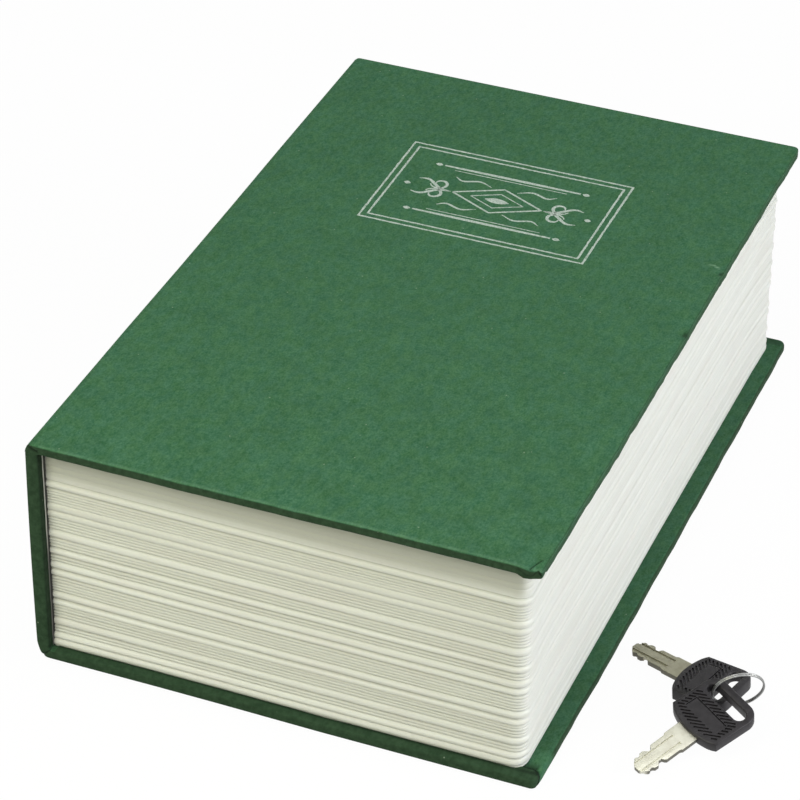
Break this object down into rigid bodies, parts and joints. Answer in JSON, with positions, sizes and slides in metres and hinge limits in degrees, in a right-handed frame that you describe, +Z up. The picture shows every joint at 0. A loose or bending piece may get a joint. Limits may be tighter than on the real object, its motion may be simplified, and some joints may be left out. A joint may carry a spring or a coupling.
{
  "type": "book diversion safe",
  "caption": "Book-shaped box: a cloth-bound case round a moulded page block that holds a steel cash box with a hinged, cam-locked lid; its keys on a ring lie beside it.",
  "frame": {"origin": "middle of the book case's underside, lying on its back cover", "axes": "+X from the spine to the fore edge, +Y from the tail to the head of the book, +Z up through the front cover"},
  "size_m": [0.1536, 0.18, 0.057],
  "materials": {
    "book_cloth": "coarse matt book cloth, dark green",
    "grey_board": "bare grey board",
    "endpaper": "matt white paper",
    "silver_foil": "stamped silver foil",
    "page_plastic": "satin cream moulded plastic",
    "powder_coat": "black hammered powder coat",
    "lock_chrome": "bright plated",
    "key_nickel": "nickel plated, fine brushed",
    "key_plastic": "moulded black plastic",
    "rivet_metal": "bare drawn metal",
    "pin_steel": "bare steel"
  },
  "bodies": {
    "case": {"back_board": "grey_board", "spine_board": "grey_board", "case_cloth": "book_cloth", "back_endpaper": "endpaper", "spine_lining": "endpaper", "page_block": "page_plastic", "steel_box": "powder_coat", "rivet_tail_spine": "rivet_metal", "rivet_tail_fore": "rivet_metal", "rivet_head_spine": "rivet_metal", "rivet_head_fore": "rivet_metal", "hinge_leaf_box": "powder_coat", "hinge_pin": "pin_steel"},
    "front_cover": {"front_board": "grey_board", "front_cloth": "book_cloth", "front_endpaper": "endpaper", "foil_frame_outer": "silver_foil", "foil_frame_inner": "silver_foil", "foil_rule_upper": "silver_foil", "foil_rule_lower": "silver_foil", "foil_ornament": "silver_foil"},
    "lid": {"steel_lid": "powder_coat", "hinge_leaf_lid": "powder_coat", "lock_body": "lock_chrome", "lock_washer": "lock_chrome", "lock_nut": "lock_chrome"},
    "latch": {"lock_plug": "lock_chrome", "lock_cam": "lock_chrome", "cam_washer": "key_plastic", "cam_screw": "lock_chrome"},
    "rear_key": {"key_head_rear": "key_plastic", "key_blade_rear": "key_nickel", "key_ring": "lock_chrome"},
    "front_key": {"key_head_front": "key_plastic", "key_blade_front": "key_nickel"}
  },
  "joints": [
    {"name": "cover_hinge", "type": "hinge", "parent": "case", "child": "front_cover", "pos_m": [-0.0575, 0, 0.057], "axis": [0, -1, 0], "range_deg": [0, 170]},
    {"name": "lid_hinge", "type": "hinge", "parent": "case", "child": "lid", "pos_m": [-0.04895, 0, 0.051], "axis": [0, -1, 0], "range_deg": [0, 110]},
    {"name": "lock_turn", "type": "hinge", "parent": "lid", "child": "latch", "pos_m": [0.0303, 0, 0.04], "axis": [0, 0, 1], "range_deg": [0, 90]},
    {"name": "keys_lift", "type": "slide", "parent": "case", "child": "rear_key", "axis": [0, 0, 1], "range_m": [0, 0.08]},
    {"name": "front_key_swing", "type": "hinge", "parent": "rear_key", "child": "front_key", "pos_m": [0.08478, -0.05298, 0.0065], "axis": [0, 0, 1], "range_deg": [-12, 20]}
  ],
  "couplings": [
    {"joint": "lid_hinge", "follows": "cover_hinge", "ratio": 0.647}
  ]
}
